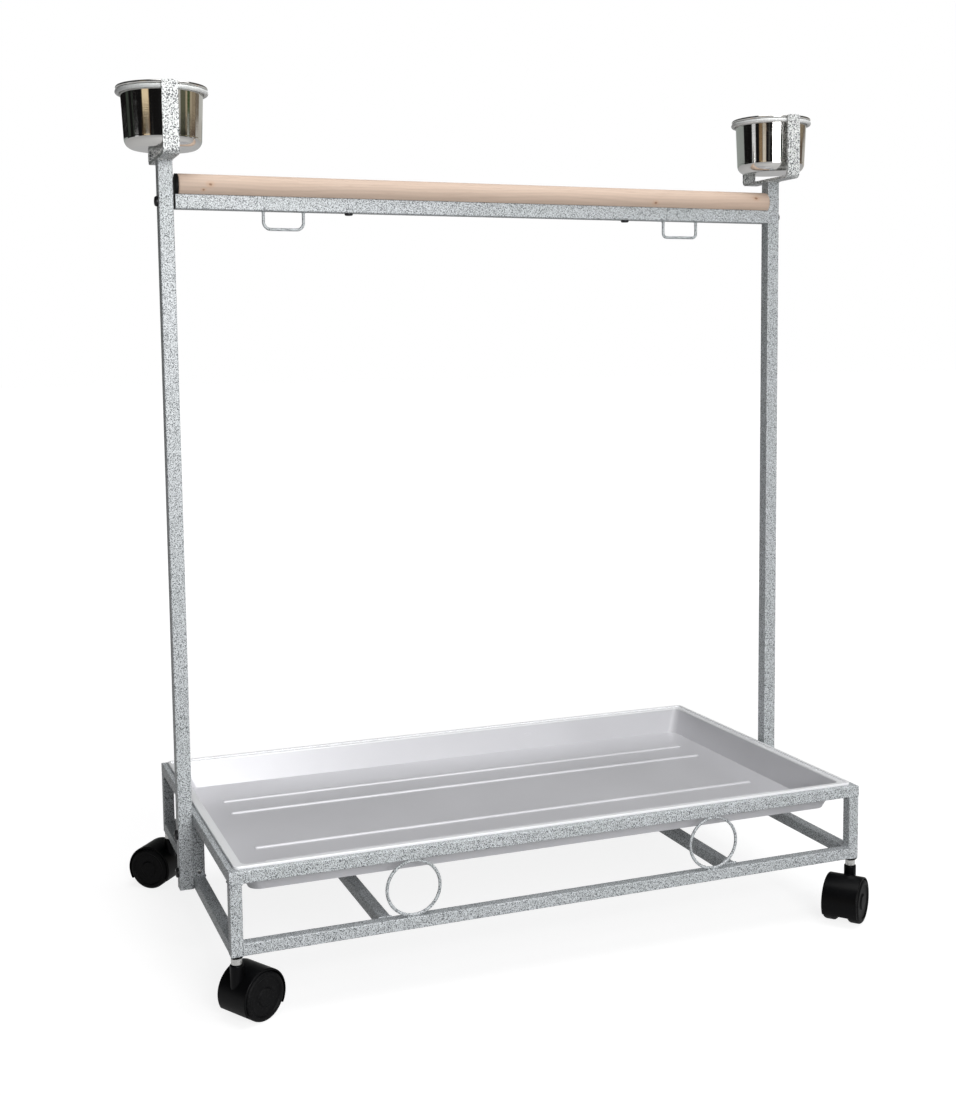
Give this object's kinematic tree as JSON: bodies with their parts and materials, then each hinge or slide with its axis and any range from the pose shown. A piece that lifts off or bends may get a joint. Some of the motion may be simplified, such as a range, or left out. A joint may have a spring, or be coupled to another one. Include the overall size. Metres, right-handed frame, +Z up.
{
  "type": "parrot play stand",
  "caption": "Rolling metal play stand for a parrot: a wooden perch on a rail between upright posts, lift-out cups on top, and a drop-in tray in a tube frame on casters.",
  "frame": {"origin": "on the floor under the middle of the stand", "axes": "+Z up; +Y from the front towards the back; +X from the left post to the right post"},
  "size_m": [0.8076, 0.4734, 0.899],
  "materials": {
    "frame_paint": "hammered silver powder coat",
    "holder_paint": "coarse hammered silver powder coat",
    "tray_steel": "smooth satin silver",
    "cup_steel": "mirror polished stainless steel",
    "perch_wood": "bare sanded pine with small knots",
    "black_steel": "black oxide",
    "plug_plastic": "black moulded nylon",
    "caster_plastic": "black moulded nylon",
    "wheel_plastic": "black moulded nylon",
    "zinc_steel": "bright zinc plate"
  },
  "bodies": {
    "base": {"base_leg_front_left": "frame_paint", "base_leg_front_right": "frame_paint", "base_leg_rear_left": "frame_paint", "base_leg_rear_right": "frame_paint", "bottom_rail_front": "frame_paint", "bottom_rail_left": "frame_paint", "bottom_rail_rear": "frame_paint", "bottom_rail_right": "frame_paint", "caster_stems": "zinc_steel", "cross_member_left": "frame_paint", "cross_member_right": "frame_paint", "cup_ring_left": "holder_paint", "cup_ring_right": "holder_paint", "cup_strap_left": "holder_paint", "cup_strap_right": "holder_paint", "frame_nuts": "zinc_steel", "front_ring_left": "frame_paint", "front_ring_right": "frame_paint", "leg_plugs": "plug_plastic", "perch_dowel": "perch_wood", "perch_end_cap": "plug_plastic", "perch_rail": "frame_paint", "perch_screws": "black_steel", "post_bolts_left": "black_steel", "post_bolts_right": "black_steel", "post_left": "frame_paint", "post_right": "frame_paint", "post_strut_left": "frame_paint", "post_strut_right": "frame_paint", "rail_insert_left": "plug_plastic", "rail_insert_right": "plug_plastic", "top_rail_front": "frame_paint", "top_rail_left": "frame_paint", "top_rail_rear": "frame_paint", "top_rail_right": "frame_paint", "toy_loop_left": "frame_paint", "toy_loop_right": "frame_paint"},
    "swivel_front_left": {"caster_hood_front_left": "caster_plastic", "caster_axle_front_left": "zinc_steel"},
    "wheel_a_front_left": {"caster_wheel_a_front_left": "wheel_plastic"},
    "wheel_b_front_left": {"caster_wheel_b_front_left": "wheel_plastic"},
    "swivel_front_right": {"caster_hood_front_right": "caster_plastic", "caster_axle_front_right": "zinc_steel"},
    "wheel_a_front_right": {"caster_wheel_a_front_right": "wheel_plastic"},
    "wheel_b_front_right": {"caster_wheel_b_front_right": "wheel_plastic"},
    "swivel_rear_left": {"caster_hood_rear_left": "caster_plastic", "caster_axle_rear_left": "zinc_steel"},
    "wheel_a_rear_left": {"caster_wheel_a_rear_left": "wheel_plastic"},
    "wheel_b_rear_left": {"caster_wheel_b_rear_left": "wheel_plastic"},
    "swivel_rear_right": {"caster_hood_rear_right": "caster_plastic", "caster_axle_rear_right": "zinc_steel"},
    "wheel_a_rear_right": {"caster_wheel_a_rear_right": "wheel_plastic"},
    "wheel_b_rear_right": {"caster_wheel_b_rear_right": "wheel_plastic"},
    "cup_left_body": {"cup_left": "cup_steel"},
    "cup_right_body": {"cup_right": "cup_steel"},
    "tray_body": {"tray": "tray_steel"}
  },
  "joints": [
    {"name": "caster_swivel_front_left", "type": "hinge", "parent": "base", "child": "swivel_front_left", "pos_m": [-0.344, -0.194, 0.05], "axis": [0, 0, 1], "continuous": true},
    {"name": "wheel_spin_a_front_left", "type": "hinge", "parent": "swivel_front_left", "child": "wheel_a_front_left", "pos_m": [-0.32841, -0.185, 0.024], "axis": [-0.5, 0.866, 0], "continuous": true},
    {"name": "wheel_spin_b_front_left", "type": "hinge", "parent": "swivel_front_left", "child": "wheel_b_front_left", "pos_m": [-0.32841, -0.185, 0.024], "axis": [-0.5, 0.866, 0], "continuous": true},
    {"name": "caster_swivel_front_right", "type": "hinge", "parent": "base", "child": "swivel_front_right", "pos_m": [0.344, -0.194, 0.05], "axis": [0, 0, 1], "continuous": true},
    {"name": "wheel_spin_a_front_right", "type": "hinge", "parent": "swivel_front_right", "child": "wheel_a_front_right", "pos_m": [0.33001, -0.20533, 0.024], "axis": [0.6293, -0.7771, 0], "continuous": true},
    {"name": "wheel_spin_b_front_right", "type": "hinge", "parent": "swivel_front_right", "child": "wheel_b_front_right", "pos_m": [0.33001, -0.20533, 0.024], "axis": [0.6293, -0.7771, 0], "continuous": true},
    {"name": "caster_swivel_rear_left", "type": "hinge", "parent": "base", "child": "swivel_rear_left", "pos_m": [-0.344, 0.194, 0.05], "axis": [0, 0, 1], "continuous": true},
    {"name": "wheel_spin_a_rear_left", "type": "hinge", "parent": "swivel_rear_left", "child": "wheel_a_rear_left", "pos_m": [-0.35799, 0.20533, 0.024], "axis": [-0.6293, -0.7771, 0], "continuous": true},
    {"name": "wheel_spin_b_rear_left", "type": "hinge", "parent": "swivel_rear_left", "child": "wheel_b_rear_left", "pos_m": [-0.35799, 0.20533, 0.024], "axis": [-0.6293, -0.7771, 0], "continuous": true},
    {"name": "caster_swivel_rear_right", "type": "hinge", "parent": "base", "child": "swivel_rear_right", "pos_m": [0.344, 0.194, 0.05], "axis": [0, 0, 1], "continuous": true},
    {"name": "wheel_spin_a_rear_right", "type": "hinge", "parent": "swivel_rear_right", "child": "wheel_a_rear_right", "pos_m": [0.35959, 0.185, 0.024], "axis": [0.5, 0.866, 0], "continuous": true},
    {"name": "wheel_spin_b_rear_right", "type": "hinge", "parent": "swivel_rear_right", "child": "wheel_b_rear_right", "pos_m": [0.35959, 0.185, 0.024], "axis": [0.5, 0.866, 0], "continuous": true},
    {"name": "cup_lift_left", "type": "slide", "parent": "base", "child": "cup_left_body", "axis": [0, 0, 1], "range_m": [0, 0.12]},
    {"name": "cup_lift_right", "type": "slide", "parent": "base", "child": "cup_right_body", "axis": [0, 0, 1], "range_m": [0, 0.12]},
    {"name": "tray_lift", "type": "slide", "parent": "base", "child": "tray_body", "axis": [0, 0, 1], "range_m": [0, 0.15]}
  ]
}
